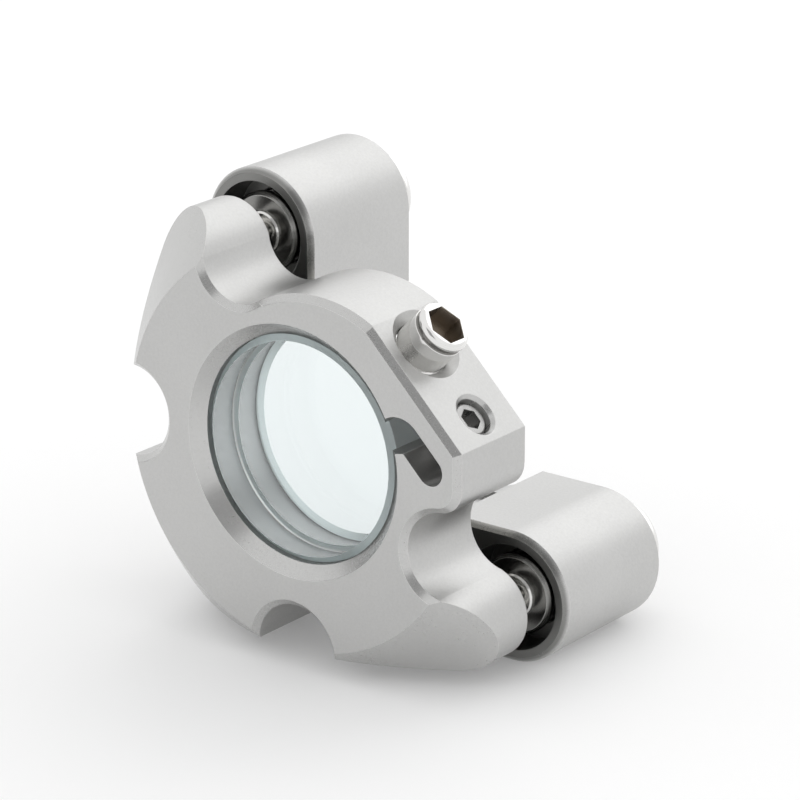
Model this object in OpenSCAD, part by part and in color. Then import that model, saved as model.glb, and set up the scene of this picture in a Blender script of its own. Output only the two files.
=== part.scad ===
// Kinematic mirror mount for a one-inch optic.
// An L-shaped back plate carries three fine-pitch adjusters, four tension
// springs pull the front plate onto their balls, and the front plate holds
// the optic in a bore with a flexure tongue.
// Millimetres, +Z up.  The origin is at the middle of the base, under the
// centre of the whole mount.  The optic faces -Y, and its axis is at X = 0.

/* [Optic] */
// Diameter of the optic
optic_d = 25.4; // [20:0.1:32]
// Thickness of the optic
optic_t = 8; // [5:0.1:9]
// Ground bevel round both faces of the optic
optic_bevel = 0.75; // [0.2:0.05:1]
// Distance of the optic behind the front face
optic_setback = 1.4; // [0.8:0.1:2.5]

/* [Front plate] */
// Thickness of the front plate
front_t = 12.5; // [10.5:0.5:16]
// Width of the turned front face beside the optic
face_w = 9.6; // [8:0.1:11.5]
// Chamfer round the mouth of the bore
mouth_chamfer = 1.45; // [0.6:0.05:2]
// Chamfer round the rear of the bore
bore_rear_chamfer = 0.6; // [0.4:0.1:2]
// Small chamfer on the other edges of the front plate
edge_chamfer = 0.7; // [0.2:0.05:0.8]
// Radius of each ear about its adjuster
ear_r = 5.3; // [4.8:0.1:6]
// Radius of the two scallops on the left and lower edges
scallop_r = 5.2; // [3.5:0.1:6]
// Radius of the notch between each ear and the clamp head
notch_r = 4.9; // [3.5:0.1:5.8]

/* [Clamp head] */
// Wall between the bore and the 45 degree flat
flat_wall = 6; // [5:0.1:8]
// Wall between the bore and the short right-hand side
side_wall = 9.3; // [8:0.1:10.5]
// Width of the flexure slot
slot_w = 3.2; // [2:0.1:3.6]
// Distance of the flexure screw from the optic screw
flexure_pitch = 9.1; // [8.6:0.1:9.8]
// Diameter of the optic screw
optic_screw_d = 6; // [5:0.1:6.4]
// Diameter of the flexure screw
flexure_screw_d = 4.2; // [3:0.1:4.6]

/* [Back plate] */
// Gap between the two plates
plate_gap = 3.5; // [2.8:0.1:5]
// Thickness of the back plate
back_t = 18.5; // [16:0.5:24]
// Radius of the back plate about each adjuster
barrel_r = 7.5; // [7:0.1:9]
// Chamfer round the front of the back plate
back_chamfer = 0.6; // [0.2:0.05:1]
// Chamfer round the rear of the back plate
rear_chamfer = 0.9; // [0.2:0.05:1.2]
// Clearance of the rear aperture round the optic
aperture_margin = 0.6; // [0.2:0.1:1.5]

/* [Adjusters] */
// Distance of each adjuster's axis outside the edge of the optic
adjuster_margin = 4.6; // [4.2:0.1:6]
// Diameter of the adjuster's thread
screw_d = 6.35; // [5:0.05:7]
// Diameter of the adjuster's head
head_d = 10.8; // [9:0.1:12]
// Height of the adjuster's head
head_h = 2.7; // [2.4:0.1:4]
// Gap under the head in the middle of the travel
head_gap = 1; // [0.9:0.1:2]
// Width across the flats of the hexagon socket
socket_af = 4.76; // [3:0.01:5.5]
// Diameter of the contact balls
ball_d = 6; // [5:0.1:6.4]

/* [Springs] */
// Distance of each spring from the middle of its leg
spring_offset = 7.8; // [7.2:0.1:8.2]
// Outer diameter of the springs
spring_d = 4.8; // [4:0.1:5.2]
// Diameter of the spring wire
wire_d = 0.7; // [0.5:0.05:0.8]
// Diameter of the pins that hold the springs
pin_d = 1.6; // [1.2:0.1:1.8]

/* [Mounting] */
// Diameter of the post holes
post_hole_d = 8.4; // [5:0.1:8.8]
// Diameter of the counterbore for the post screw's head
counterbore_d = 14.4; // [9:0.1:15]
// Diameter of the dowel holes beside each post hole
dowel_d = 3.4; // [2:0.1:3.6]
// Distance of the dowel holes from the post hole
dowel_offset = 9.8; // [9.2:0.1:11]
// Depth of the relief across the side face
side_relief = 2; // [0.5:0.1:2.4]
// Depth of the relief across the base face
base_relief = 1; // [0.5:0.1:2]

/* [Hidden] */
$fn = 96;

// Fits
press = 0.02;
running = 0.03;
slack = 0.05;
pocket_clear = 0.45;
blend = 0.04;

// Layout of the plates, seen from the front with +Y of the plan upwards
bore_r = optic_d / 2 + slack;
axis_offset = optic_d / 2 + adjuster_margin;
face_r = optic_d / 2 + face_w;
reach = axis_offset + ear_r;
back_reach = axis_offset + barrel_r;
axis_h = back_reach;
top_axis = [-axis_offset, axis_offset];
apex_axis = [-axis_offset, -axis_offset];
side_axis = [axis_offset, -axis_offset];
scallop_axis = [-reach - 0.15, 0];

// Depths along Y
middle_y = (plate_gap + front_t - head_gap - head_h) / 2;
back_face_y = middle_y + back_t / 2;
back_front_y = middle_y - back_t / 2;
front_rear_y = back_front_y - plate_gap;
front_face_y = front_rear_y - front_t;
ball_y = front_rear_y + 0.3 * ball_d - 0.9;

// Adjusters
ball_r = ball_d / 2;
screw_r = screw_d / 2;
bushing_r = screw_r + 1.2;
recess_r = barrel_r - 1.5;
recess_depth = 4.3;
collar_r = screw_r + 1.4;
collar_t = 1.4;
nose_r = screw_r - 0.7;
tip_y = ball_y + ball_r + slack;
collar_y = tip_y + 0.4;
head_y = back_face_y + head_gap;
bushing_front_y = back_front_y + recess_depth;
bushing_rear_y = back_face_y - 1;

// Seats for the balls
seat_r = ball_r + 0.9;
seat_face = 0.3;
seat_t = 3.4;

// Clamp head
flat_d = optic_d / 2 + flat_wall;
side_x = optic_d / 2 + side_wall;
notch_turn = 15.1;
notch_axis = top_axis + polar(ear_r + notch_r, notch_turn);
bump_axis = [3, 2];
bump_r = norm(notch_axis - bump_axis) - notch_r;
corner_r = 3;
corner_in = side_x - corner_r;
corner_drop = sqrt((corner_r + notch_r) ^ 2 - (corner_in - notch_axis[1]) ^ 2);
corner_axis = [corner_in, notch_axis[0] + corner_drop];
slot_in = optic_d / 2 + 0.1;
slot_out = slot_in + slot_w;
slot_left = 7.4;
slot_right = 11.6;
tongue_tip = 8.3;
tongue_turn = atan2(slot_in, tongue_tip);
round_r = 0.75;
optic_screw_out = 3.7;
pad_t = 1.2;
coat_t = 0.1;
coat_gap = 0.02;
pad_r = optic_screw_d / 2 - 0.8;

// Springs and pins
pocket_r = spring_d / 2 + pocket_clear;
pocket_floor = 2.6;
front_pin_y = front_face_y + 4.6;
rear_pin_y = back_face_y - 3.3;
pin_r = pin_d / 2;
pin_reach = pocket_r + 1.6;
access_r = pin_r + 0.8;
coil_r = (spring_d - wire_d) / 2;
hook_r = pin_r + wire_d / 2 + 0.5;
coil_turns = 18;

// Mounting
side_relief_half = 6.2;
side_relief_shift = 0.9;
base_relief_half = 4.8;
aperture_r = optic_d / 2 + aperture_margin;
counterbore_floor = aperture_r + 0.8;
dowel_depth = 4;
dowel_slot = 1.3;
far = 80;

function polar(r, a) = [r * cos(a), r * sin(a)];
function toward(a, b, r) = a + (b - a) / norm(b - a) * r;

// Places a plan drawn in X and Y upright, with Z = 0 at depth y and +Z
// pointing to the front
module upright(y) {
    translate([0, y, axis_h])
        rotate([90, 0, 0])
            children();
}

// Repeats the children for the upright leg and, mirrored, for the foot
module both_legs() {
    children();
    mirror([1, -1, 0])
        children();
}

// Turns +X of the children along the 45 degree flat and +Y outwards
module in_flat() {
    rotate([0, 0, -45])
        children();
}

// Disc with a chamfer round each end
module disc(r, h, c, c_high = -1) {
    d = c_high < 0 ? c : c_high;
    rotate_extrude()
        polygon([[0, 0], [r - c, 0], [r, c], [r, h - d], [r - d, h], [0, h]]);
}

// Everything on the near side of a plane at Y = d, with its edges chamfered
module half_slab(d, h, c) {
    rotate([90, 0, 90])
        linear_extrude(2 * far, center = true)
            polygon([
                [-far, 0], [d - c, 0], [d, c],
                [d, h - c], [d - c, h], [-far, h]
            ]);
}

// Cutter for a hole of height h with a countersink at each end
module hole(r, h, c_low, c_high) {
    translate([0, 0, -1])
        cylinder(r = r, h = h + 2);
    if (c_low > 0)
        translate([0, 0, -1])
            cylinder(r1 = r + c_low + 1, r2 = r, h = c_low + 1);
    if (c_high > 0)
        translate([0, 0, h - c_high])
            cylinder(r1 = r, r2 = r + c_high + 1, h = c_high + 1);
}

// Hexagonal socket of width af across its flats, with its mouth at Z = 0
module socket(af, depth) {
    translate([0, 0, -depth])
        cylinder(r = af / sqrt(3), h = depth + 1, $fn = 6);
}

// ---- Front plate ----

// Lathe-turned outside: a round face that falls away at 45 degrees
module turned_blank() {
    rotate_extrude()
        polygon([[0, 0], [face_r + front_t, 0], [face_r, front_t], [0, front_t]]);
}

module front_leg() {
    intersection() {
        rotate([0, 0, 90])
            half_slab(reach, front_t, edge_chamfer);
        translate([-reach, -axis_offset, 0])
            cube([reach - bore_r / 2, 2 * axis_offset, front_t]);
    }
}

// The piece with the 45 degree flat, the short right side and the slot
module clamp_head() {
    first = toward(bump_axis, notch_axis, bump_r);
    last = toward(corner_axis, [notch_axis[1], notch_axis[0]], corner_r);
    intersection() {
        in_flat()
            half_slab(flat_d, front_t, edge_chamfer);
        rotate([0, 0, -90])
            half_slab(side_x, front_t, edge_chamfer);
        union() {
            translate(bump_axis)
                disc(bump_r, front_t, edge_chamfer + blend);
            translate(corner_axis)
                disc(corner_r, front_t, edge_chamfer + blend);
            linear_extrude(front_t)
                polygon([
                    bump_axis, first, bump_axis + polar(bump_r - 1, 60),
                    [flat_d * sqrt(2) - side_x * 0.5, side_x * 0.5],
                    [far, side_x * 0.5], [far, corner_axis[1]], corner_axis, last,
                    [last[0] - 1, last[1] - 8], side_axis / 2
                ]);
        }
    }
}

// Fills the plan between the legs, the ears and the clamp head
module web() {
    first = toward(top_axis, notch_axis, ear_r);
    second = toward(bump_axis, notch_axis, bump_r);
    linear_extrude(front_t)
        polygon([top_axis, first, second, bump_axis, apex_axis]);
}

module front_blank() {
    intersection() {
        turned_blank();
        union() {
            for (p = [top_axis, apex_axis, side_axis])
                translate(p)
                    disc(ear_r, front_t, edge_chamfer);
            both_legs() {
                front_leg();
                web();
            }
            clamp_head();
        }
    }
}

// Slot that frees the tongue, open to the bore above the tongue's tip
module flexure_slot() {
    middle = slot_w / 2;
    translate([0, 0, -1])
        linear_extrude(front_t + 2)
            in_flat() {
                translate([slot_right, slot_in + middle])
                    circle(r = middle);
                translate([slot_left, slot_in])
                    square([slot_right - slot_left, slot_w]);
                intersection() {
                    translate([slot_left, slot_in])
                        circle(r = slot_w);
                    translate([slot_left - slot_w, slot_in])
                        square([slot_w, slot_w]);
                }
                polygon([
                    polar(bore_r - 1, tongue_turn), [tongue_tip, slot_in],
                    [slot_left - slot_w, slot_in], [slot_left - slot_w, slot_in - 2]
                ]);
            }
}

// Cutter along the clamp screws' axes, from the flat inwards
module from_flat(along) {
    in_flat()
        translate([along, flat_d, front_t / 2])
            rotate([90, 0, 0])
                children();
}

module front_plate() {
    color("silver")
    upright(front_rear_y)
    difference() {
        front_blank();
        hole(bore_r, front_t, bore_rear_chamfer, mouth_chamfer);
        both_legs() {
            translate(scallop_axis)
                hole(scallop_r, front_t, edge_chamfer, edge_chamfer);
            translate(notch_axis)
                hole(notch_r + blend, front_t, edge_chamfer, edge_chamfer);
            for (s = [-1, 1]) {
                translate([-axis_offset, s * spring_offset, -1])
                    cylinder(r = pocket_r, h = front_t - pocket_floor + 1);
                pin_bore(s, front_t - 4.6, reach);
            }
        }
        flexure_slot();
        from_flat(0)
            hole(optic_screw_d / 2 + running, flat_wall + 1, 1.2, 0);
        from_flat(flexure_pitch)
            hole(flexure_screw_d / 2 + running, flat_d - slot_in - slot_w / 2, 0.4, 0);
        for (p = [top_axis, apex_axis, side_axis])
            translate([p[0], p[1], -1])
                cylinder(r = seat_r + press, h = seat_t + seat_face + 1);
    }
}

// ---- Back plate ----

module back_leg() {
    c = rear_chamfer;
    d = back_chamfer;
    translate([-axis_offset, axis_offset, 0])
        rotate([90, 0, 0])
            linear_extrude(2 * axis_offset)
                polygon([
                    [-barrel_r, c], [-barrel_r + c, 0], [barrel_r - c, 0], [barrel_r, c],
                    [barrel_r, back_t - d], [barrel_r - d, back_t],
                    [-barrel_r + d, back_t], [-barrel_r, back_t - d]
                ]);
}

// Cutter for one spring pin and the wider access hole it is pressed through
module pin_bore(s, z, face) {
    translate([-face - 1, s * spring_offset, z])
        rotate([0, 90, 0]) {
            cylinder(r = access_r, h = face - axis_offset - pin_reach + 1);
            cylinder(r = pin_r + press, h = face - axis_offset + pin_reach + 1);
        }
}

// Shallow arc across a mounting face
module relief(half, depth, shift) {
    r = (half * half + depth * depth) / (2 * depth);
    translate([depth - back_reach - r, shift, -1])
        cylinder(r = r, h = back_t + 2, $fn = 180);
}

// Post hole, its counterbore and the dowel hole and slot of one leg
module mounting_cuts() {
    z = back_t / 2;
    translate([-back_reach - 1, 0, z])
        rotate([0, 90, 0]) {
            cylinder(r = post_hole_d / 2, h = back_reach);
            translate([0, 0, back_reach + 1 - counterbore_floor])
                cylinder(r = counterbore_d / 2, h = counterbore_floor);
        }
    translate([-back_reach - 1, -dowel_offset, z])
        rotate([0, 90, 0])
            cylinder(r = dowel_d / 2, h = dowel_depth + 1);
    for (s = [-1, 1])
        translate([-back_reach - 1, dowel_offset + s * dowel_slot, z])
            rotate([0, 90, 0])
                cylinder(r = dowel_d / 2, h = dowel_depth + 1);
    translate([-back_reach - 1, dowel_offset - dowel_slot, z - dowel_d / 2])
        cube([dowel_depth + 1, 2 * dowel_slot, dowel_d]);
}

module back_plate() {
    color("lightgray")
    upright(back_face_y)
    difference() {
        union() {
            for (p = [top_axis, apex_axis, side_axis])
                translate(p)
                    disc(barrel_r, back_t, rear_chamfer, back_chamfer);
            both_legs()
                back_leg();
        }
        hole(aperture_r, back_t, edge_chamfer, edge_chamfer);
        for (p = [top_axis, apex_axis, side_axis])
            translate(p) {
                hole(bushing_r + press, back_t, edge_chamfer, 0);
                translate([0, 0, back_t - recess_depth])
                    cylinder(r = recess_r, h = recess_depth + 1);
            }
        relief(side_relief_half, side_relief, side_relief_shift);
        mirror([1, -1, 0])
            relief(base_relief_half, base_relief, 0);
        both_legs() {
            mounting_cuts();
            for (s = [-1, 1]) {
                translate([-axis_offset, s * spring_offset, 0])
                    hole(pocket_r, back_t, 0.3, 0.3);
                pin_bore(s, 3.3, back_reach);
            }
        }
    }
}

// ---- Optic ----

module glass_optic() {
    r = optic_d / 2;
    b = optic_bevel;
    color("lightcyan", 0.5)
    upright(front_face_y + optic_setback + optic_t)
        disc(r, optic_t, 0.15, b);
}

// Silvered layer on the rear face of the glass
module mirror_coat() {
    color("white")
    upright(front_face_y + optic_setback + optic_t + coat_gap + coat_t)
        cylinder(r = optic_d / 2 - 0.2, h = coat_t);
}

// ---- Adjusters ----

// Turns +Z of the children to +Y, on the adjuster axis p at depth y
module on_axis(p, y) {
    translate([p[0], y, axis_h + p[1]])
        rotate([-90, 0, 0])
            children();
}

// Fine-pitch screw: nose, thread and domed head with a hexagon socket
module adjuster_screw(p) {
    shank = head_y - tip_y;
    rim = 0.5;
    top_r = socket_af / 2 + 1.55;
    dome_r = ((head_d / 2 - top_r) ^ 2 + (head_h - rim) ^ 2) / (2 * (head_d / 2 - top_r));
    color("gainsboro")
    on_axis(p, tip_y)
    difference() {
        union() {
            cylinder(r = nose_r, h = collar_y + collar_t - tip_y + 0.3);
            translate([0, 0, collar_y + collar_t - tip_y + running])
                cylinder(r = screw_r, h = shank - (collar_y + collar_t - tip_y) - running);
            translate([0, 0, shank])
                rotate_extrude()
                    intersection() {
                        square([head_d / 2, head_h]);
                        union() {
                            square([head_d / 2, rim]);
                            translate([head_d / 2 - dome_r, rim])
                                circle(r = dome_r);
                        }
                    }
        }
        translate([0, 0, shank + head_h])
            socket(socket_af, 2);
        translate([0, 0, shank + head_h - 0.3])
            cylinder(r1 = socket_af / 2, r2 = socket_af / 2 + 0.6, h = 0.6);
    }
}

// Ring on the screw's nose that keeps it from being wound out of the bushing
module stop_collar(p) {
    r = collar_r;
    color("whitesmoke")
    on_axis(p, collar_y)
    difference() {
        disc(r, collar_t, 0.4);
        translate([0, 0, -1])
            cylinder(r = nose_r + running, h = collar_t + 2);
    }
}

// Threaded sleeve pressed into the back plate
module bushing(p) {
    length = bushing_rear_y - bushing_front_y;
    color("darkkhaki")
    on_axis(p, bushing_front_y)
    difference() {
        disc(bushing_r, length, 0.3);
        translate([0, 0, -1])
            cylinder(r = screw_r + running, h = length + 2);
    }
}

module contact_ball(p) {
    color("ghostwhite")
    on_axis(p, ball_y)
        sphere(r = ball_r);
}

// ---- Seats ----

// Disc pressed into the rear of the front plate, with its face at the ball
module seat_disc(p) {
    color("dimgray")
    on_axis(p, front_rear_y - seat_face - seat_t)
        children();
}

module flat_seat(p) {
    face = ball_y - ball_r - slack / 2;
    seat_disc(p)
        cylinder(r = seat_r, h = face - (front_rear_y - seat_face - seat_t));
}

module cone_seat(p) {
    floor_y = front_rear_y - seat_face - seat_t;
    tip = ball_y - (ball_r + slack / 2) * sqrt(2) - floor_y;
    seat_disc(p)
    difference() {
        cylinder(r = seat_r, h = seat_t);
        translate([0, 0, tip])
            cylinder(r1 = 0, r2 = seat_t, h = seat_t);
    }
}

// Its groove points at the cone, so the plate can only tilt
module vee_seat(p) {
    floor_y = front_rear_y - seat_face - seat_t;
    tip = ball_y - (ball_r + slack / 2) * sqrt(2) - floor_y;
    seat_disc(p)
    difference() {
        cylinder(r = seat_r, h = seat_t);
        translate([0, 0, tip])
            rotate([0, -90, 0])
                linear_extrude(2 * seat_r + 2, center = true)
                    polygon([[0, 0], [seat_t, seat_t], [seat_t, -seat_t]]);
    }
}

// ---- Springs ----

// Places the children on a spring's axis; foot springs are mirrored
module at_spring(foot, s) {
    upright(0)
        if (foot)
            mirror([1, -1, 0])
                translate([-axis_offset, s * spring_offset, 0])
                    children();
        else
            translate([-axis_offset, s * spring_offset, 0])
                children();
}

// Eye of the spring, in the plane across its pin
module spring_eye() {
    rotate([0, 90, 0])
        rotate_extrude($fn = 48)
            translate([hook_r, 0])
                circle(d = wire_d, $fn = 24);
}

// Coils between the two eyes, as turned ridges one wire apart
module tension_spring(foot, s) {
    front_eye = -front_pin_y - (hook_r - wire_d / 2 - pin_r) + running;
    rear_eye = -rear_pin_y + (hook_r - wire_d / 2 - pin_r) - running;
    low = rear_eye + hook_r;
    high = front_eye - hook_r;
    step = (high - low) / coil_turns;
    ridge = [for (i = [0 : coil_turns - 1]) each [
        [coil_r + wire_d * 0.2, low + i * step],
        [coil_r + wire_d / 2, low + (i + 0.3) * step],
        [coil_r + wire_d / 2, low + (i + 0.7) * step]
    ]];
    color("lightslategray")
    at_spring(foot, s)
    union() {
        rotate_extrude($fn = 48)
            polygon(concat(
                [[coil_r - wire_d / 2, low]], ridge,
                [[coil_r + wire_d * 0.2, high], [coil_r - wire_d / 2, high]]
            ));
        for (y = [rear_eye, front_eye])
            translate([0, 0, y])
                spring_eye();
        for (y = [low + 0.6 * wire_d, high - 0.6 * wire_d])
            translate([0, 0, y])
                rotate([90, 0, 0])
                    cylinder(d = wire_d, h = 2 * coil_r, center = true, $fn = 24);
    }
}

// Pin across a spring pocket, at plan height z
module spring_pin(foot, s, y) {
    color("slategray")
    at_spring(foot, s)
        translate([0, 0, -y])
            rotate([0, 90, 0])
                cylinder(r = pin_r, h = 2 * pin_reach, center = true);
}

// ---- Clamp screws ----

// Places the children on a clamp screw's axis, +Z outwards from the bore
module on_clamp(along, d) {
    upright(front_rear_y)
        in_flat()
            translate([along, d, front_t / 2])
                rotate([-90, 0, 0])
                    children();
}

// Screw over the optic, whose rounded socket end stands off the flat
module optic_screw() {
    r = optic_screw_d / 2;
    start = bore_r + pad_t;
    length = flat_d - start + optic_screw_out;
    color("gainsboro")
    on_clamp(0, start)
    difference() {
        rotate_extrude() {
            square([r, length - round_r]);
            square([r - round_r, length]);
            translate([r - round_r, length - round_r])
                circle(r = round_r);
        }
        translate([0, 0, length])
            socket(3.5, 2.6);
    }
}

// Soft tip of the optic screw, against the edge of the glass
module optic_pad() {
    color("ivory")
    on_clamp(0, 0)
    difference() {
        cylinder(r = pad_r, h = bore_r + pad_t);
        rotate([90, 0, 0])
            cylinder(r = optic_d / 2 + running, h = 2 * pad_r + 2, center = true);
    }
}

// Set screw that presses on the flexure tongue
module flexure_screw() {
    r = flexure_screw_d / 2;
    length = flat_d - slot_in - 0.9;
    color("gray")
    on_clamp(flexure_pitch, slot_in + running)
    difference() {
        disc(r, length, 0.35);
        translate([0, 0, length])
            socket(2.2, 1.8);
    }
}

back_plate();
front_plate();
glass_optic();
mirror_coat();
adjuster_screw(top_axis);  // adjuster_screw_top
adjuster_screw(apex_axis);  // adjuster_screw_apex
adjuster_screw(side_axis);  // adjuster_screw_side
stop_collar(top_axis);  // stop_collar_top
stop_collar(apex_axis);  // stop_collar_apex
stop_collar(side_axis);  // stop_collar_side
bushing(top_axis);  // bushing_top
bushing(apex_axis);  // bushing_apex
bushing(side_axis);  // bushing_side
contact_ball(top_axis);  // contact_ball_top
contact_ball(apex_axis);  // contact_ball_apex
contact_ball(side_axis);  // contact_ball_side
flat_seat(top_axis);  // flat_seat_top
cone_seat(apex_axis);  // cone_seat_apex
vee_seat(side_axis);  // vee_seat_side
tension_spring(false, 1);  // spring_upright_high
tension_spring(false, -1);  // spring_upright_low
tension_spring(true, -1);  // spring_foot_left
tension_spring(true, 1);  // spring_foot_right
spring_pin(false, 1, rear_pin_y);  // rear_pin_upright_high
spring_pin(false, -1, rear_pin_y);  // rear_pin_upright_low
spring_pin(true, -1, rear_pin_y);  // rear_pin_foot_left
spring_pin(true, 1, rear_pin_y);  // rear_pin_foot_right
spring_pin(false, 1, front_pin_y);  // front_pin_upright_high
spring_pin(false, -1, front_pin_y);  // front_pin_upright_low
spring_pin(true, -1, front_pin_y);  // front_pin_foot_left
spring_pin(true, 1, front_pin_y);  // front_pin_foot_right
optic_screw();
optic_pad();
flexure_screw();
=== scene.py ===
"""Kinematic mirror mount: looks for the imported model.

Metres, in the model's own frame; -Y is the way the optic faces.
"""

import math

import bmesh
import bpy
import numpy as np
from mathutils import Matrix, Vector


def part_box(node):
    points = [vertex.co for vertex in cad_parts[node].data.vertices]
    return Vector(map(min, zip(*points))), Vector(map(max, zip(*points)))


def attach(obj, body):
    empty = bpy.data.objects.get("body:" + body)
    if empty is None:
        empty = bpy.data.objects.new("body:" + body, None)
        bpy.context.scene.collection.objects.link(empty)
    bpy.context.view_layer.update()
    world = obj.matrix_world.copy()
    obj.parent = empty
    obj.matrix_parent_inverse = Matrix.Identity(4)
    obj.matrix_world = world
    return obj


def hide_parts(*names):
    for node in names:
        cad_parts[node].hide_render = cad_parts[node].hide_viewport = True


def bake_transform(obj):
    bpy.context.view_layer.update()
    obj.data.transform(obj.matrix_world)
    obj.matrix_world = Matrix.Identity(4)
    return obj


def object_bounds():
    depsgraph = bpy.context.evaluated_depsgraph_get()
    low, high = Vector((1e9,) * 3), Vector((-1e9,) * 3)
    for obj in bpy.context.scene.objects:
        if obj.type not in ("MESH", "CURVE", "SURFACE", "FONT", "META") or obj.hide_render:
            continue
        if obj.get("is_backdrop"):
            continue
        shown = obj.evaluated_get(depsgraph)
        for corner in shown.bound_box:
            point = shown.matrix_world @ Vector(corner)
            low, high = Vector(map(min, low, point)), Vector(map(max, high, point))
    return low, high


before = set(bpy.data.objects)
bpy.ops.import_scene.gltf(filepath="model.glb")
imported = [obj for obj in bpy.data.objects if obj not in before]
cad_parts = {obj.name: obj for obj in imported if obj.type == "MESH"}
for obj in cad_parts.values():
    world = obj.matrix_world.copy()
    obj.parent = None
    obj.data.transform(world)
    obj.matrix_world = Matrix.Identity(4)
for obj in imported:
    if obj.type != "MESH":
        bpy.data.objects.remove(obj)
cad_low, cad_high = (list(c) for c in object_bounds())

# ---- Back plate ----
# An L milled from stainless bar, its faces fine bead-blasted. Holes and broken
# edges are cut after the blasting, so they stay smoother and brighter.


def group(name, inputs, outputs):
    """A new node group with float or vector sockets: its tree, input node and output node."""
    tree = bpy.data.node_groups.new(name, "ShaderNodeTree")
    for label, kind, value in inputs:
        socket = tree.interface.new_socket(label, in_out="INPUT", socket_type="NodeSocket" + kind)
        if kind == "Float":
            socket.default_value = value
    for label, kind in outputs:
        tree.interface.new_socket(label, in_out="OUTPUT", socket_type="NodeSocket" + kind)
    return tree, tree.nodes.new("NodeGroupInput"), tree.nodes.new("NodeGroupOutput")


def add(tree, kind, links=None, **settings):
    """Adds a node. Settings name its properties or sockets; links name what feeds a socket."""
    node = tree.nodes.new("ShaderNode" + kind)
    for key, value in settings.items():
        if hasattr(node, key):
            setattr(node, key, value)
    for key, value in settings.items():
        if not hasattr(node, key):
            node.inputs[key.replace("_", " ")].default_value = value
    for key, source in (links or {}).items():
        tree.links.new(source, node.inputs[key])
    return node


def maths(tree, operation, a, b=None, clamp=False):
    """A Math node's result, for sockets or plain numbers."""
    node = tree.nodes.new("ShaderNodeMath")
    node.operation, node.use_clamp = operation, clamp
    for i, value in enumerate(v for v in (a, b) if v is not None):
        if isinstance(value, (int, float)):
            node.inputs[i].default_value = value
        else:
            tree.links.new(value, node.inputs[i])
    return node.outputs[0]


def ramp(tree, value, low, high, to_low=0.0, to_high=1.0):
    """Maps a value smoothly from low..high to to_low..to_high."""
    node = add(tree, "MapRange", {"Value": value}, interpolation_type="SMOOTHSTEP")
    limits = {"From Min": low, "From Max": high, "To Min": to_low, "To Max": to_high}
    for key, number in limits.items():
        node.inputs[key].default_value = number
    return node.outputs["Result"]


# Bead-blasted skin: dimples a tenth of a millimetre wide, with a soft mottle
tree, given, result = group(
    "blasted_skin",
    [("Coordinate", "Vector", None), ("Dimples per metre", "Float", 9000.0)],
    [("Tone", "Float"), ("Height", "Float")],
)
fine = add(
    tree,
    "TexNoise",
    {"Vector": given.outputs["Coordinate"], "Scale": given.outputs["Dimples per metre"]},
    Detail=2.0,
)
mottle = add(
    tree,
    "TexNoise",
    {"Vector": given.outputs["Coordinate"]},
    Scale=3200.0,
    Detail=3.0,
    Roughness=0.6,
)
broad = add(tree, "TexNoise", {"Vector": given.outputs["Coordinate"]}, Scale=90.0, Detail=2.0)
tone = maths(tree, "MULTIPLY", mottle.outputs["Fac"], 0.45)
tone = maths(tree, "ADD", tone, maths(tree, "MULTIPLY", broad.outputs["Fac"], 0.25))
tone = maths(tree, "ADD", tone, maths(tree, "MULTIPLY", fine.outputs["Fac"], 0.3))
tree.links.new(tone, result.inputs["Tone"])
height = maths(
    tree, "ADD", fine.outputs["Fac"], maths(tree, "MULTIPLY", mottle.outputs["Fac"], 0.6)
)
tree.links.new(height, result.inputs["Height"])

# Broken edges: a rounded normal, and a mask that is 1 on the edge itself
tree, given, result = group(
    "worn_edge", [("Grain", "Float", 0.5)], [("Normal", "Vector"), ("Mask", "Float")]
)
rounded = add(tree, "Bevel", samples=6, Radius=0.00013)
true_normal = add(tree, "NewGeometry")
likeness = add(
    tree,
    "VectorMath",
    {0: rounded.outputs["Normal"], 1: true_normal.outputs["Normal"]},
    operation="DOT_PRODUCT",
)
lost = maths(tree, "SUBTRACT", 1.0, likeness.outputs["Value"])
lost = maths(tree, "MULTIPLY", lost, maths(tree, "ADD", 0.4, given.outputs["Grain"]))
tree.links.new(rounded.outputs["Normal"], result.inputs["Normal"])
tree.links.new(ramp(tree, lost, 0.004, 0.08), result.inputs["Mask"])

# Machined faces: a mask of those that lean the way chamfers do, and the cutter's fine lines
tree, given, result = group(
    "machined",
    [("Coordinate", "Vector", None), ("Facing", "Vector", None)],
    [("Chamfer", "Float"), ("Lines", "Float")],
)
parts = add(tree, "SeparateXYZ", {"Vector": given.outputs["Facing"]})
lean = maths(tree, "ABSOLUTE", parts.outputs["Y"])
mask = maths(tree, "MULTIPLY", ramp(tree, lean, 0.60, 0.69), ramp(tree, lean, 0.74, 0.84, 1.0, 0.0))
tree.links.new(mask, result.inputs["Chamfer"])
place = add(tree, "SeparateXYZ", {"Vector": given.outputs["Coordinate"]})
stripes = add(tree, "TexNoise", noise_dimensions="1D", Scale=14000.0, Detail=2.0)
tree.links.new(place.outputs["Y"], stripes.inputs["W"])
tree.links.new(stripes.outputs["Fac"], result.inputs["Lines"])

ball_low, ball_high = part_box("contact_ball_side")
axis_x = (ball_low.x + ball_high.x) / 2
axis_low = (ball_low.z + ball_high.z) / 2
ball_low, ball_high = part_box("contact_ball_top")
axis_high = (ball_low.z + ball_high.z) / 2
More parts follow.
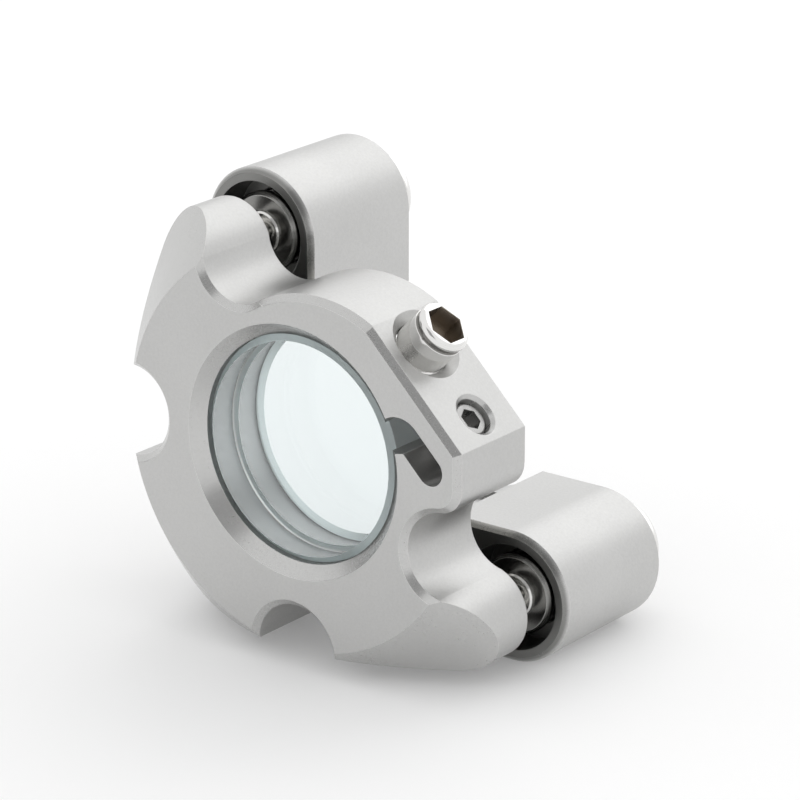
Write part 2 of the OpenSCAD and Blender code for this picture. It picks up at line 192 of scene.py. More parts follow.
# Distance from the nearest adjuster's axis, and the place along it
tree, given, result = group(
    "adjuster_axis", [("Coordinate", "Vector", None)], [("Radius", "Float"), ("Depth", "Float")]
)
place = add(tree, "SeparateXYZ", {"Vector": given.outputs["Coordinate"]})
across = maths(tree, "SUBTRACT", maths(tree, "ABSOLUTE", place.outputs["X"]), axis_x)
upward = maths(tree, "SUBTRACT", place.outputs["Z"], (axis_low + axis_high) / 2)
upward = maths(tree, "SUBTRACT", maths(tree, "ABSOLUTE", upward), (axis_high - axis_low) / 2)
square = maths(
    tree, "ADD", maths(tree, "MULTIPLY", across, across), maths(tree, "MULTIPLY", upward, upward)
)
tree.links.new(maths(tree, "SQRT", square), result.inputs["Radius"])
tree.links.new(place.outputs["Y"], result.inputs["Depth"])


def finish(name, colour, rough):
    """A new material, metallic to start with, and its shader and Object coordinate."""
    made = bpy.data.materials.new(name)
    made.use_nodes = True
    tree = made.node_tree
    shader = tree.nodes["Principled BSDF"]
    shader.inputs["Metallic"].default_value = 1.0
    shader.inputs["Base Color"].default_value = (*colour, 1)
    shader.inputs["Roughness"].default_value = rough
    where = tree.nodes.new("ShaderNodeTexCoord")
    return made, tree, shader, where


def use(tree, name, links):
    """A node group in a material, with the given sockets fed."""
    node = tree.nodes.new("ShaderNodeGroup")
    node.node_tree = bpy.data.node_groups[name]
    for key, source in links.items():
        tree.links.new(source, node.inputs[key])
    return node


def between(tree, factor, a, b):
    """Mixes two colours (triples or sockets) by a factor socket."""
    node = add(tree, "Mix", {"Factor": factor}, data_type="RGBA")
    for key, value in (("A", a), ("B", b)):
        socket = next(s for s in node.inputs if s.name == key and s.type == "RGBA")
        if isinstance(value, tuple):
            socket.default_value = (*value, 1)
        else:
            tree.links.new(value, socket)
    return next(s for s in node.outputs if s.type == "RGBA")


def wear(node, material):
    """Gives a CAD node this one material."""
    node.data.materials.clear()
    node.data.materials.append(material)


def blasted_steel(name, dark, light, clear_y, deep_y, recess_y):
    """Blasted stainless: mottled tone, bright edges, smoother chamfers, dimpled surface.

    Painted shade darkens it from clear_y to deep_y, towards the other plate, and round the
    adjusters as far as recess_y.
    """
    made, tree, shader, where = finish(name, light, 0.4)
    skin = use(tree, "blasted_skin", {"Coordinate": where.outputs["Object"]})
    edge = use(tree, "worn_edge", {"Grain": skin.outputs["Tone"]})
    cut = use(
        tree, "machined", {"Coordinate": where.outputs["Object"], "Facing": where.outputs["Normal"]}
    )
    colour = between(tree, ramp(tree, skin.outputs["Tone"], 0.36, 0.64), dark, light)
    colour = between(
        tree, maths(tree, "MULTIPLY", edge.outputs["Mask"], 0.5), colour, (0.74, 0.74, 0.72)
    )
    place = add(tree, "SeparateXYZ", {"Vector": where.outputs["Object"]})
    # Painted shade towards the other plate, on the faces that look along Y
    if deep_y > clear_y:
        painted_gap_shade = ramp(tree, place.outputs["Y"], clear_y, deep_y)
    else:
        painted_gap_shade = ramp(tree, place.outputs["Y"], deep_y, clear_y, 1.0, 0.0)
    facing = add(tree, "SeparateXYZ", {"Vector": where.outputs["Normal"]})
    painted_gap_shade = maths(
        tree, "MULTIPLY", painted_gap_shade, ramp(tree, maths(tree, "ABSOLUTE", facing.outputs["Y"]), 0.3, 0.6)
    )
    # Painted shade in the recess round each adjuster
    around = use(tree, "adjuster_axis", {"Coordinate": where.outputs["Object"]})
    painted_recess_shade = maths(
        tree,
        "MULTIPLY",
        ramp(tree, around.outputs["Radius"], 0.00605, 0.0061, 1.0, 0.0),
        ramp(tree, place.outputs["Y"], recess_y, recess_y + 0.0005, 1.0, 0.0),
    )
    painted_gap_shade = maths(tree, "MAXIMUM", painted_gap_shade, painted_recess_shade)
    # The painted shade is a dark grey mixed into the colour
    colour = between(tree, maths(tree, "MULTIPLY", painted_gap_shade, 0.8), colour, (0.17, 0.17, 0.162))
    tree.links.new(colour, shader.inputs["Base Color"])
    rough = ramp(tree, skin.outputs["Tone"], 0.3, 0.7, 0.43, 0.36)
    rough = maths(tree, "SUBTRACT", rough, maths(tree, "MULTIPLY", cut.outputs["Chamfer"], 0.14))
    rough = maths(tree, "SUBTRACT", rough, maths(tree, "MULTIPLY", edge.outputs["Mask"], 0.08))
    tree.links.new(rough, shader.inputs["Roughness"])
    plain = maths(tree, "SUBTRACT", 1.0, cut.outputs["Chamfer"])
    height = maths(tree, "MULTIPLY", skin.outputs["Height"], plain)
    height = maths(
        tree,
        "ADD",
        height,
        maths(
            tree,
            "MULTIPLY",
            maths(tree, "MULTIPLY", cut.outputs["Lines"], cut.outputs["Chamfer"]),
            0.1,
        ),
    )
    bump = add(
        tree,
        "Bump",
        {"Height": height, "Normal": edge.outputs["Normal"]},
        Strength=0.35,
        Distance=0.000012,
    )
    tree.links.new(bump.outputs["Normal"], shader.inputs["Normal"])
    return made


# The plate's front chamfer, towards the gap, and the recesses round the adjusters get painted shade
back_low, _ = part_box("back_plate")
back_steel = blasted_steel(
    "blasted_steel_back",
    (0.53, 0.529, 0.522),
    (0.57, 0.569, 0.562),
    back_low.y + 0.00062,
    back_low.y + 0.0002,
    0.0013,
)
wear(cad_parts["back_plate"], back_steel)

# ---- Bushings and stop collars ----
# Turned from hardened steel. The bushings are pressed into the back plate and
# carry the fine thread; the collars keep the screws from being wound out.
turned, tree, shader, where = finish("ground_steel", (0.5, 0.5, 0.49), 0.22)
place = add(tree, "SeparateXYZ", {"Vector": where.outputs["Object"]})
rings = add(
    tree, "TexNoise", {"W": place.outputs["Y"]}, noise_dimensions="1D", Scale=9000.0, Detail=3.0
)
tint = add(tree, "TexNoise", {"Vector": where.outputs["Object"]}, Scale=900.0, Detail=3.0)
colour = between(tree, tint.outputs["Fac"], (0.42, 0.42, 0.41), (0.58, 0.575, 0.56))
# Painted shade: darker towards the front, below 3 mm along Y, where these parts sit in the recesses
# and the gap
colour = between(
    tree, ramp(tree, place.outputs["Y"], 0.001, 0.003, 0.7, 0.0), colour, (0.16, 0.158, 0.15)
)
edge = use(tree, "worn_edge", {})
colour = between(
    tree, maths(tree, "MULTIPLY", edge.outputs["Mask"], 0.6), colour, (0.78, 0.78, 0.76)
)
tree.links.new(colour, shader.inputs["Base Color"])
tree.links.new(ramp(tree, rings.outputs["Fac"], 0.3, 0.7, 0.17, 0.29), shader.inputs["Roughness"])
bump = add(
    tree,
    "Bump",
    {"Height": rings.outputs["Fac"], "Normal": edge.outputs["Normal"]},
    Strength=0.25,
    Distance=0.000008,
)
tree.links.new(bump.outputs["Normal"], shader.inputs["Normal"])
for who in ("top", "apex", "side"):
    wear(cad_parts["bushing_" + who], turned)
    wear(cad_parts["stop_collar_" + who], turned)

# ---- Adjuster screws and balls ----
# Mirror-polished stainless. The thread shows on the shank behind the head, and
# the broached hexagon holds painted shade.
head_low, head_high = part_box("adjuster_screw_top")

chrome, tree, shader, where = finish("polished_steel", (0.74, 0.735, 0.72), 0.08)
around = use(tree, "adjuster_axis", {"Coordinate": where.outputs["Object"]})
# Painted shade in the thread's roots, but not on the head; painted shade in the socket down
# to its floor; and a duller ring on the land round the socket
root = maths(
    tree,
    "MULTIPLY",
    ramp(tree, around.outputs["Radius"], 0.00315, 0.00307),
    ramp(tree, around.outputs["Radius"], 0.00295, 0.00300),
)
root = maths(
    tree,
    "MULTIPLY",
    root,
    ramp(tree, around.outputs["Depth"], head_high.y - 0.0030, head_high.y - 0.0029, 1.0, 0.0),
)
socket = maths(
    tree,
    "MULTIPLY",
    ramp(tree, around.outputs["Radius"], 0.00292, 0.00278),
    ramp(tree, around.outputs["Depth"], head_high.y - 0.0004, head_high.y - 0.00005, 1.0, 0.0),
)
socket = maths(
    tree,
    "MULTIPLY",
    socket,
    ramp(tree, around.outputs["Depth"], head_high.y - 0.0035, head_high.y - 0.003),
)
land = maths(
    tree,
    "MULTIPLY",
    ramp(tree, around.outputs["Radius"], 0.00397, 0.00391),
    ramp(tree, around.outputs["Depth"], head_high.y - 0.00012, head_high.y - 0.00004),
)
smear = add(
    tree, "TexNoise", {"Vector": where.outputs["Object"]}, Scale=420.0, Detail=4.0, Distortion=0.6
)
colour = between(tree, smear.outputs["Fac"], (0.70, 0.695, 0.68), (0.78, 0.775, 0.76))
colour = between(tree, socket, colour, (0.10, 0.092, 0.085))
colour = between(tree, maths(tree, "MULTIPLY", root, 0.7), colour, (0.22, 0.22, 0.215))
tree.links.new(colour, shader.inputs["Base Color"])
rough = ramp(tree, smear.outputs["Fac"], 0.35, 0.7, 0.12, 0.2)
rough = maths(
    tree, "ADD", rough, maths(tree, "MULTIPLY", maths(tree, "MAXIMUM", socket, land), 0.25)
)
tree.links.new(rough, shader.inputs["Roughness"])
edge = use(tree, "worn_edge", {})
bump = add(
    tree,
    "Bump",
    {"Height": smear.outputs["Fac"], "Normal": edge.outputs["Normal"]},
    Strength=0.05,
    Distance=0.00001,
)
tree.links.new(bump.outputs["Normal"], shader.inputs["Normal"])


def surface(name, points, joins=None):
    """A closed skin over a grid of points, rows by columns, with its two ends filled.

    Columns wrap round, row i meeting row joins[i] there. Edges of over 35 degrees stay sharp.
    """
    rows, columns = points.shape[:2]
    index = np.arange(rows * columns).reshape(rows, columns)
    after = np.roll(index, -1, 1)
    if joins is not None:
        after[:, -1] = index[joins, 0]
    quads = np.stack([index[:-1], after[:-1], after[1:], index[1:]], -1)
    faces = quads.reshape(-1, 4).tolist() + [index[0][::-1].tolist(), index[-1].tolist()]
    mesh = bpy.data.meshes.new(name)
    mesh.from_pydata(points.reshape(-1, 3).tolist(), [], faces)
    skin = bmesh.new()
    skin.from_mesh(mesh)
    bmesh.ops.remove_doubles(skin, verts=skin.verts, dist=2e-7)
    bmesh.ops.recalc_face_normals(skin, faces=skin.faces)
    skin.to_mesh(mesh)
    skin.free()
    mesh.polygons.foreach_set("use_smooth", np.ones(len(mesh.polygons), dtype=bool))
    mesh.set_sharp_from_angle(angle=math.radians(35))
    made = bpy.data.objects.new(name, mesh)
    bpy.context.scene.collection.objects.link(made)
    return made


columns = np.linspace(0, 2 * np.pi, 48, endpoint=False)


def circle(place, radius):
    """One row of a turned skin: the same place along the axis and radius all round."""
    return (place + 0 * columns)[None], (radius + 0 * columns)[None]


def hexagon(place, across):
    """One row of a hexagonal wall.

    The radius is half the width across the flats, over the cosine of the angle from
    the middle of a flat.
    """
    radius = across / 2 / np.cos(columns % (np.pi / 3) - np.pi / 6)
    return (place + 0 * columns)[None], radius[None]


def thread(start, end, pitch, root, crest):
    """Rows a quarter pitch apart that climb one pitch in a turn.

    Two lie at the root and two at the crest, run out at both ends and held between them.
    """
    count = int(4 * ((end - start) / pitch + 1)) + 3
    place = start - pitch + pitch / 4 * np.arange(count)[:, None] + pitch * columns / (2 * np.pi)
    cut = np.clip(np.minimum(place - start, end - place) / pitch, 0, 1)
    deep = np.isin(np.arange(count) % 4, (0, 3))[:, None]
    return np.clip(place, start, end), crest - (crest - root) * cut * deep


def screw(name, foot, along, blocks):
    """A skin round an axis from foot: every block's rows in turn.

    A row of a thread meets the row four on, a pitch further. The rest meet themselves.
    """
    place, radius = (np.concatenate([b[i] for b in blocks]) for i in (0, 1))
    joins, done = [], 0
    for block_place, _ in blocks:
        count = len(block_place)
        ahead = 4 if count > 1 else 0
        joins.append(done + np.minimum(np.arange(count) + ahead, count - 1))
        done += count
    side = np.cross(along, (0, 1, 0) if abs(along[1]) < 0.5 else (1, 0, 0))
    ring = np.cross(side, along) * np.cos(columns)[:, None] + side * np.sin(columns)[:, None]
    points = np.array(foot) + place[..., None] * np.array(along) + radius[..., None] * ring
    return surface(name, points, joins=np.concatenate(joins))


head_r = (head_high.x - head_low.x) / 2
head_t, rim, land_r, hex_across = 0.0027, 0.0005, 0.00393, 0.0039
nose_r, shank_r, collar_end, pitch, thread_deep = 0.002475, 0.003175, 0.00183, 0.000254, 0.00014
hex_deep, hex_mouth, drill_r, drill_deep = 0.002, 0.0001, 0.0015, 0.0026
bow = ((head_r - land_r) ** 2 + (head_t - rim) ** 2) / (2 * (head_r - land_r))
for who in ("top", "apex", "side"):
    low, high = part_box("adjuster_screw_" + who)
    end = high.y - low.y
    under = end - head_t
    dome = [
        circle(under + rim + bow * math.sin(a), head_r - bow + bow * math.cos(a))
        for a in np.linspace(0, math.asin((head_t - rim) / bow), 12)
    ]
    piece = screw(
        "threaded_screw_" + who,
        ((low.x + high.x) / 2, low.y, (low.z + high.z) / 2),
        (0, 1, 0),
        [
            circle(0, 0), circle(0, nose_r - 0.0002), circle(0.0002, nose_r),
            circle(collar_end, nose_r), circle(collar_end, shank_r - thread_deep),
            thread(collar_end + 0.0001, under - 0.0003, pitch, shank_r - thread_deep, shank_r),
            circle(under - 0.0003, shank_r - 0.00016), circle(under, shank_r - 0.00016),
            circle(under, head_r - 0.00012), circle(under + 0.00012, head_r),
            *dome,
            hexagon(end, hex_across + hex_mouth), hexagon(end - hex_mouth, hex_across),
            hexagon(end - hex_deep, hex_across),
            circle(end - hex_deep, drill_r), circle(end - drill_deep, 0),
        ],
    )
    piece.data.materials.append(chrome)
    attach(piece, who + "_adjuster")
    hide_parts("adjuster_screw_" + who)

bearing, tree, shader, where = finish("ball_steel", (0.76, 0.755, 0.74), 0.04)
haze = add(tree, "TexNoise", {"Vector": where.outputs["Object"]}, Scale=1500.0, Detail=4.0)
tree.links.new(
    between(tree, haze.outputs["Fac"], (0.72, 0.715, 0.70), (0.80, 0.795, 0.78)),
    shader.inputs["Base Color"],
)
tree.links.new(ramp(tree, haze.outputs["Fac"], 0.4, 0.75, 0.03, 0.09), shader.inputs["Roughness"])
bump = add(tree, "Bump", {"Height": haze.outputs["Fac"]}, Strength=0.05, Distance=0.000004)
tree.links.new(bump.outputs["Normal"], shader.inputs["Normal"])
for who in ("top", "apex", "side"):
    wear(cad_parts["contact_ball_" + who], bearing)

# ---- Pins and seats ----
# Ground dowel pins pressed across the spring pockets, and hardened seats in the
# rear of the front plate.
for name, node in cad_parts.items():
    if "_pin_" in name or "_seat_" in name:
        wear(node, turned)

# ---- Springs ----
# Music wire wound as a helix with an eye at each end. Each spring is a length held
# to the back plate and three more lengths, cut from its front end.
wire, tree, shader, where = finish("spring_wire", (0.5, 0.5, 0.49), 0.2)
drawn = add(tree, "TexNoise", {"Vector": where.outputs["Object"]}, Scale=2600.0, Detail=3.0)
tree.links.new(
    between(tree, drawn.outputs["Fac"], (0.40, 0.40, 0.39), (0.62, 0.615, 0.60)),
    shader.inputs["Base Color"],
)
tree.links.new(ramp(tree, drawn.outputs["Fac"], 0.3, 0.7, 0.16, 0.3), shader.inputs["Roughness"])
bump = add(tree, "Bump", {"Height": drawn.outputs["Fac"]}, Strength=0.2, Distance=0.00001)
tree.links.new(bump.outputs["Normal"], shader.inputs["Normal"])


def tube(names, path, side, radius, cuts):
    """A wire, cut at the given heights into one piece per name.

    At each point of the path it is a circle of the radius, in the plane of the side
    vector and of its cross product with the tangent.
    """
    along = np.gradient(path, axis=0)
    along /= np.linalg.norm(along, axis=1, keepdims=True)
    side = side - along * (side * along).sum(1, keepdims=True)
    side /= np.linalg.norm(side, axis=1, keepdims=True)
    up = np.cross(along, side)
    angle = np.linspace(0, 2 * np.pi, 14, endpoint=False)[None, :, None]
    ring = side[:, None] * np.cos(angle) + up[:, None] * np.sin(angle)
    grid = path[:, None] + radius * ring
    ends = [0, *(int(np.argmax(path[:, 1] > cut)) for cut in cuts), len(path) - 1]
    return [surface(name, grid[a : b + 1]) for name, a, b in zip(names, ends, ends[1:])]


def spring_end(names, centre, pin_along_x, eye_y, outward, meet_y, meet_turn, turns, cuts=()):
    """One end of a spring, up to meet_y, cut into one piece per name.

    It is an open circle round the pin, a spiral from its foot out to the coil, then a helix.
    The eye lies in the plane across the pin. The helix has the radius coil and ends at
    the angle meet_turn.
    """
    eye, coil, wire_r, run_out, eye_points = 0.00165, 0.00205, 0.00035, 0.0005, 56
    turn = np.radians(np.linspace(-150, 180, eye_points))
    eye_u, eye_v, eye_depth = eye * np.sin(turn), 0 * turn, eye_y + outward * eye * np.cos(turn)
    start_y = eye_y - outward * eye
    s = np.linspace(0, 1, 22)[1:]
    spread = coil * s * s * (3 - 2 * s)
    sweep = np.radians(110)
    spiral = np.pi + outward * sweep * s
    spiral_y = start_y - outward * run_out * s
    first = np.pi + outward * sweep
    part_turn = (meet_turn - first) % (2 * np.pi)
    if outward > 0:
        total = part_turn + 2 * np.pi * round(turns - part_turn / (2 * np.pi))
    else:
        total = part_turn - 2 * np.pi * (1 + round(turns))
    h = np.linspace(0, 1, int(30 * turns))[1:]
    helix, helix_y = first + total * h, spiral_y[-1] + (meet_y - spiral_y[-1]) * h
    u = np.concatenate([eye_u, spread * np.cos(spiral), coil * np.cos(helix)])
    v = np.concatenate([eye_v, spread * np.sin(spiral), coil * np.sin(helix)])
    y = np.concatenate([eye_depth, spiral_y, helix_y])
    pin_part = np.concatenate([np.ones(eye_points), 1 - s, np.zeros(len(h))])[:, None]
    level, depth, upright = np.eye(3)
    across, pin = (upright, level) if pin_along_x else (level, upright)
    path = np.array(centre) + u[:, None] * across + v[:, None] * pin + y[:, None] * depth
    side = pin_part * pin + (1 - pin_part) * depth
    return tube(names, path, side, wire_r, cuts)


# Each front end is cut at gap_cuts into three lengths, and each length is baked where it lies.
meet, gap_cuts, front_end, whole = 0.0045, (-0.006, -0.001), -0.0115, 0.00045
stops = (front_end - whole, *gap_cuts, meet)
bodies = ("front", "side_contact", "apex_contact", "base")
for name in ("upright_high", "upright_low", "foot_left", "foot_right"):
    low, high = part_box("spring_" + name)
    centre = ((low.x + high.x) / 2, 0, (low.z + high.z) / 2)
    upright = name.startswith("upright")
    (rear,) = spring_end(["coil_rear_" + name], centre, upright, high.y - 0.002, 1, meet, 0.0, 4)
    lengths = [part + name for part in ("coil_front_", "coil_gap_", "coil_inner_")]
    lengths = spring_end(lengths, centre, upright, low.y + 0.002, -1, meet, 0.0, 13, gap_cuts)
    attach(rear, "base")
    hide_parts("spring_" + name)
    for piece in (rear, *lengths):
        piece.data.materials.append(wire)
    for piece, first, second, start, end in zip(lengths, bodies, bodies[1:], stops, stops[1:]):
        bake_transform(piece)

# ---- Front plate ----
# Milled from the same bar as the back plate and blasted the same way; its rear
# face, towards the gap, takes painted shade.
plate_low, plate_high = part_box("front_plate")
front_steel = blasted_steel(
    "blasted_steel_front",
    (0.525, 0.524, 0.517),
    (0.56, 0.559, 0.552),
    plate_high.y - 0.0006,
    plate_high.y - 0.0001,
    -1.0,
)
wear(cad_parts["front_plate"], front_steel)

# ---- Mirror ----
# A thick disc of glass, silvered behind. Its rim and its two bevels are ground,
# so they show as a soft blue-green grey through the clear front face.
glass_low, glass_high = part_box("glass_optic")
optic_x, optic_z = (glass_low.x + glass_high.x) / 2, (glass_low.z + glass_high.z) / 2
optic_r = (glass_high.z - glass_low.z) / 2
glass, tree, shader, where = finish("optic_glass", (0.95, 0.985, 0.985), 0.0)
shader.inputs["Metallic"].default_value = 0.0
shader.inputs["Transmission Weight"].default_value = 1.0
shader.inputs["IOR"].default_value = 1.5
centred = add(
    tree, "Mapping", {"Vector": where.outputs["Object"]}, Location=(-optic_x, 0, -optic_z)
)
place = add(tree, "SeparateXYZ", {"Vector": centred.outputs["Vector"]})
square = maths(
    tree,
    "ADD",
    maths(tree, "MULTIPLY", place.outputs["X"], place.outputs["X"]),
    maths(tree, "MULTIPLY", place.outputs["Z"], place.outputs["Z"]),
)
radius = maths(tree, "SQRT", square)
ground = ramp(tree, radius, optic_r - 0.00076, optic_r - 0.00073)
bevelled = ramp(tree, place.outputs["Y"], glass_low.y + 0.00072, glass_low.y + 0.00076, 1.0, 0.0)
frost = add(tree, "TexNoise", {"Vector": where.outputs["Object"]}, Scale=3200.0, Detail=3.0)
rear_bevel = ramp(tree, place.outputs["Y"], glass_high.y - 0.00077, glass_high.y - 0.00072)
cut = between(tree, rear_bevel, (0.90, 0.955, 0.955), (0.76, 0.83, 0.83))
cut = between(tree, bevelled, cut, (0.50, 0.58, 0.58))
tree.links.new(between(tree, ground, (0.97, 0.99, 0.99), cut), shader.inputs["Base Color"])
rough = ramp(tree, frost.outputs["Fac"], 0.3, 0.7, 0.46, 0.56)
rough = maths(tree, "MULTIPLY", ground, rough)
tree.links.new(rough, shader.inputs["Roughness"])
bump = add(
    tree,
    "Bump",
    {"Height": maths(tree, "MULTIPLY", frost.outputs["Fac"], ground)},
    Strength=0.2,
    Distance=0.00001,
)
tree.links.new(bump.outputs["Normal"], shader.inputs["Normal"])
wear(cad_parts["glass_optic"], glass)

silver, tree, shader, where = finish("mirror_silver", (0.93, 0.955, 0.96), 0.02)
_, coat_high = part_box("mirror_coat")
place = add(tree, "SeparateXYZ", {"Vector": where.outputs["Object"]})
behind = ramp(tree, place.outputs["Y"], coat_high.y - 0.00005, coat_high.y - 0.00002)
cloud = add(tree, "TexNoise", {"Vector": where.outputs["Object"]}, Scale=240.0, Detail=4.0)
front_tint = between(tree, cloud.outputs["Fac"], (0.93, 0.955, 0.96), (0.95, 0.97, 0.975))
tree.links.new(between(tree, behind, front_tint, (0.78, 0.77, 0.74)), shader.inputs["Base Color"])
rough = maths(
    tree,
    "ADD",
    0.02,
    maths(tree, "MULTIPLY", behind, ramp(tree, cloud.outputs["Fac"], 0.3, 0.7, 0.4, 0.5)),
)
tree.links.new(rough, shader.inputs["Roughness"])
wear(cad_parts["mirror_coat"], silver)

# ---- Clamp screws and pad ----
# The optic screw is a polished, domed screw, with painted shade in its broached hexagon;
# it presses a nylon pad. The flexure's set screw is plain dark steel.
screw_low, screw_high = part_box("optic_screw")
clamp, tree, shader, where = finish("clamp_screw", (0.74, 0.735, 0.72), 0.1)
outer = Vector((1, 0, 1)).normalized()
screw_y, screw_r = (screw_low.y + screw_high.y) / 2, (screw_high.y - screw_low.y) / 2
rounding = 0.00075
broach, broach_deep, mouth = 0.004, 0.0026, 0.0001
broach_drill_r, broach_drill_deep = 0.0014, 0.0032
groove_start, groove_end, groove_deep = 0.00142, 0.0007, 0.00026
# How far out the screw's end is, worked back from the high corner of its box: its axis
# slants at 45 degrees, and its rim is rounded
reach = screw_high.x + screw_high.z - optic_z
face_out = (reach - 2 * screw_r * outer.x + 2 * rounding * (2 * outer.x - 1)) * outer.x
centred = add(
    tree, "Mapping", {"Vector": where.outputs["Object"]}, Location=(0, -screw_y, -optic_z)
)
axial = add(tree, "VectorMath", {0: centred.outputs["Vector"]}, operation="DOT_PRODUCT")
axial.inputs[1].default_value = outer
length = add(tree, "VectorMath", {0: centred.outputs["Vector"]}, operation="LENGTH")
square = maths(
    tree,
    "SUBTRACT",
    maths(tree, "POWER", length.outputs["Value"], 2.0),
    maths(tree, "POWER", axial.outputs["Value"], 2.0),
)
from_axis = maths(tree, "SQRT", maths(tree, "MAXIMUM", square, 0.0))
# Painted shade, a dark brown, in the broached hexagon
socket = maths(
    tree,
    "MULTIPLY",
    ramp(tree, from_axis, 0.00245, 0.00240),
    ramp(tree, axial.outputs["Value"], face_out - 0.00022, face_out - 0.00008, 1.0, 0.0),
)
smear = add(
    tree, "TexNoise", {"Vector": where.outputs["Object"]}, Scale=700.0, Detail=4.0, Distortion=0.5
)
colour = between(tree, smear.outputs["Fac"], (0.74, 0.735, 0.72), (0.82, 0.815, 0.80))
# Painted shade darkens the groove under the crown
painted_groove_shade = maths(
    tree,
    "MULTIPLY",
    ramp(tree, from_axis, screw_r - 0.00004, screw_r - 0.00014),
    ramp(tree, axial.outputs["Value"], face_out - 0.00145, face_out - 0.0014),
)
painted_groove_shade = maths(
    tree,
    "MULTIPLY",
    painted_groove_shade,
    ramp(tree, axial.outputs["Value"], face_out - 0.00074, face_out - 0.00068, 1.0, 0.0),
)
colour = between(tree, painted_groove_shade, colour, (0.20, 0.195, 0.185))
colour = between(tree, socket, colour, (0.36, 0.32, 0.275))
tree.links.new(colour, shader.inputs["Base Color"])
rough = maths(
    tree,
    "ADD",
    ramp(tree, smear.outputs["Fac"], 0.3, 0.7, 0.06, 0.14),
    maths(tree, "MULTIPLY", socket, 0.25),
)
tree.links.new(rough, shader.inputs["Roughness"])
bump = add(tree, "Bump", {"Height": smear.outputs["Fac"]}, Strength=0.05, Distance=0.00001)
tree.links.new(bump.outputs["Normal"], shader.inputs["Normal"])
thread_start = optic_r + 0.00125
flat_out = face_out - 0.0037
turned_end = face_out - thread_start
crown, coarse_pitch = 0.0006, 0.0005
corner = [
    circle(turned_end - crown + crown * math.sin(a), screw_r - crown + crown * math.cos(a))
    for a in np.linspace(0, math.pi / 2, 9)
]
piece = screw(
    "domed_optic_screw",
    Vector((0, screw_y, optic_z)) + thread_start * outer,
    tuple(outer),
    [
        circle(0, 0), circle(0, screw_r - 0.0004), circle(0.0003, screw_r - 0.0001),
        thread(0.0004, flat_out - thread_start - 0.0008, coarse_pitch, screw_r - 0.0003, screw_r),
        circle(flat_out - thread_start - 0.0006, screw_r - 0.00002),
        circle(turned_end - groove_start, screw_r - 0.00002),
        circle(turned_end - 0.00126, screw_r - groove_deep),
        circle(turned_end - 0.00086, screw_r - groove_deep),
        circle(turned_end - groove_end, screw_r - 0.00002), *corner,
        hexagon(turned_end, broach + mouth), hexagon(turned_end - mouth, broach),
        hexagon(turned_end - broach_deep, broach),
        circle(turned_end - broach_deep, broach_drill_r), circle(turned_end - broach_drill_deep, 0),
    ],
)
piece.data.materials.append(clamp)
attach(piece, "front")
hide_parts("optic_screw")

grub, tree, shader, where = finish("dark_steel", (0.3, 0.3, 0.3), 0.28)
stain = add(tree, "TexNoise", {"Vector": where.outputs["Object"]}, Scale=1400.0, Detail=4.0)
edge = use(tree, "worn_edge", {})
colour = between(tree, stain.outputs["Fac"], (0.34, 0.34, 0.335), (0.5, 0.495, 0.49))
colour = between(tree, maths(tree, "MULTIPLY", edge.outputs["Mask"], 0.7), colour, (0.6, 0.6, 0.58))
tree.links.new(colour, shader.inputs["Base Color"])
tree.links.new(ramp(tree, stain.outputs["Fac"], 0.3, 0.7, 0.22, 0.38), shader.inputs["Roughness"])
tree.links.new(edge.outputs["Normal"], shader.inputs["Normal"])
wear(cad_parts["flexure_screw"], grub)

nylon, tree, shader, where = finish("nylon", (0.8, 0.78, 0.7), 0.5)
shader.inputs["Metallic"].default_value = 0.0
cloud = add(tree, "TexNoise", {"Vector": where.outputs["Object"]}, Scale=1200.0, Detail=3.0)
tree.links.new(
    between(tree, cloud.outputs["Fac"], (0.70, 0.68, 0.60), (0.78, 0.76, 0.68)),
    shader.inputs["Base Color"],
)
tree.links.new(ramp(tree, cloud.outputs["Fac"], 0.3, 0.7, 0.42, 0.56), shader.inputs["Roughness"])
wear(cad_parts["optic_pad"], nylon)

# ---- Floor ----
# A flat pale floor that keeps the mount's shadow. It is a shade lighter to the
# camera, to polished metal and to glass than it is as a bounce of light.
floor_half = 4.0
floor_mesh = bpy.data.meshes.new("floor")
floor_mesh.from_pydata(
    [
        (-floor_half, -floor_half, 0),
        (floor_half, -floor_half, 0),
        (floor_half, floor_half, 0),
        (-floor_half, floor_half, 0),
    ],
    [],
    [(0, 1, 2, 3)],
)
floor = bpy.data.objects.new("floor", floor_mesh)
bpy.context.scene.collection.objects.link(floor)
floor.location.z = cad_low[2] - 0.00002
floor_paint = bpy.data.materials.new("pale_floor")
floor_paint.use_nodes = True
tree = floor_paint.node_tree
paint = tree.nodes["Principled BSDF"]
paint.inputs["Roughness"].default_value = 0.9
paint.inputs["Specular IOR Level"].default_value = 0.1


def background_rays(tree):
    """1 for the rays that find a white background: camera, metal and glass ones."""
    ray = tree.nodes.new("ShaderNodeLightPath")
    seen = maths(
        tree, "ADD", ray.outputs["Is Camera Ray"], ray.outputs["Is Glossy Ray"], clamp=True
    )
    return maths(tree, "ADD", seen, ray.outputs["Is Transmission Ray"], clamp=True)


seen = background_rays(tree)
tree.links.new(
    between(tree, seen, (0.80, 0.80, 0.80), (0.82, 0.82, 0.82)), paint.inputs["Base Color"]
)
tree.links.new(maths(tree, "MULTIPLY", seen, 0.15), paint.inputs["Emission Strength"])
paint.inputs["Emission Color"].default_value = (1, 1, 1, 1)
floor_mesh.materials.append(floor_paint)
floor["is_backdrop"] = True

# ---- Light ----
# An even white room with one large soft box above and behind. Grey felt flags
# beside the camera, to the left and behind give polished metal its dark edges.
room = bpy.data.worlds.new("white_room")
bpy.context.scene.world = room
room.use_nodes = True
tree = room.node_tree
sky = tree.nodes["Background"]
sky.inputs["Color"].default_value = (1, 1, 1, 1)
seen = background_rays(tree)
tree.links.new(
    maths(tree, "ADD", 0.95, maths(tree, "MULTIPLY", seen, 0.05)), sky.inputs["Strength"]
)


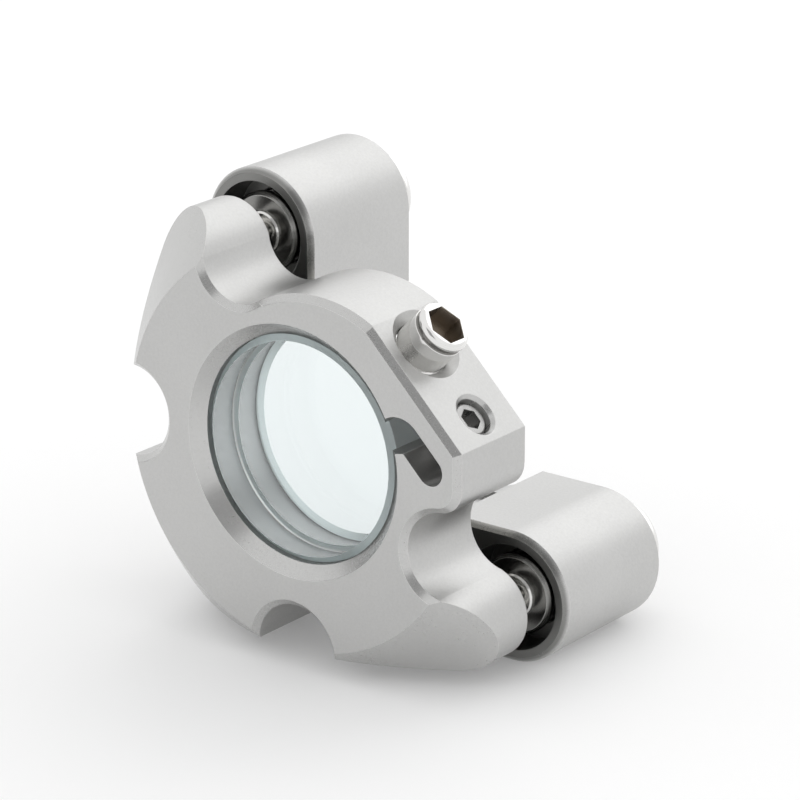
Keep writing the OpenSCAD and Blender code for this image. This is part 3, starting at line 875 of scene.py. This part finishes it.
def soft_box(name, direction, distance, width, radiance):
    """A square lamp of a width that faces the mount, as bright as radiance times white."""
    lamp = bpy.data.lights.new(name, "AREA")
    lamp.size = width
    lamp.energy = radiance * math.pi * width * width
    made = bpy.data.objects.new(name, lamp)
    bpy.context.scene.collection.objects.link(made)
    made.location = Vector(direction).normalized() * distance + Vector((0, 0, optic_z))
    made.rotation_euler = (
        Vector((0, 0, optic_z)) - made.location
    ).to_track_quat("-Z", "Y").to_euler()


soft_box("rear_box", (-0.10, 0.80, 0.52), 1.2, 1.5, 0.6)


def flag(name, direction, distance, width, height, grey):
    """An upright felt card that faces the mount and is met only by rays from metal and glass."""
    felt = bpy.data.materials.new(name + "_felt")
    felt.use_nodes = True
    felt.node_tree.nodes["Principled BSDF"].inputs["Base Color"].default_value = (
        grey, grey, grey, 1
    )
    felt.node_tree.nodes["Principled BSDF"].inputs["Roughness"].default_value = 1.0
    away = Vector(direction).normalized() * distance
    side = away.cross(Vector((0, 0, 1))).normalized() * width / 2
    up = side.cross(away).normalized() * height / 2
    mesh = bpy.data.meshes.new(name)
    mesh.from_pydata(
        [away + a * side + b * up for a, b in ((-1, -1), (1, -1), (1, 1), (-1, 1))],
        [],
        [(0, 1, 2, 3)],
    )
    mesh.materials.append(felt)
    made = bpy.data.objects.new(name, mesh)
    bpy.context.scene.collection.objects.link(made)
    made.visible_camera = made.visible_diffuse = made.visible_shadow = False
    made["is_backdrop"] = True


flag("camera_flag", (0.46, -0.62, 0.64), 0.7, 0.44, 0.44, 0.45)
flag("left_flag", (-0.86, -0.48, 0.10), 0.9, 0.26, 0.6, 0.06)
flag("rear_flag", (-0.50, 0.80, 0.20), 1.6, 0.3, 0.6, 0.1)

# ---- Camera ----
# A long lens stands off to the right of the optic and a little above it, so
# that the front face, the top and the right-hand flank all show.
optic_centre = Vector((optic_x, plate_low.y, optic_z))
view_turn, view_rise, view_distance = math.radians(35.01), math.radians(18.9), 0.41837
toward_camera = Vector((
    math.sin(view_turn) * math.cos(view_rise),
    -math.cos(view_turn) * math.cos(view_rise),
    math.sin(view_rise),
))
screen_right = Vector((math.cos(view_turn), math.sin(view_turn), 0))
screen_up = screen_right.cross(-toward_camera)
lens = bpy.data.cameras.new("long_lens")
lens.sensor_width = 36
lens.lens = 178
lens.clip_start, lens.clip_end = 0.01, 20
camera = bpy.data.objects.new("camera", lens)
bpy.context.scene.collection.objects.link(camera)
# How far the camera, and the point that it looks at, lie to the right of the optic and above it
stand_right, stand_up, aim_right, aim_up = 0.02723, 0.00714, 0.0115, 0.0058
camera.location = optic_centre + stand_right * screen_right + stand_up * screen_up
camera.location += view_distance * toward_camera
looked_at = optic_centre + aim_right * screen_right + aim_up * screen_up
camera.rotation_euler = (looked_at - camera.location).to_track_quat("-Z", "Y").to_euler()
bpy.context.scene.camera = camera
bpy.context.scene.view_settings.view_transform = "Standard"

low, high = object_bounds()
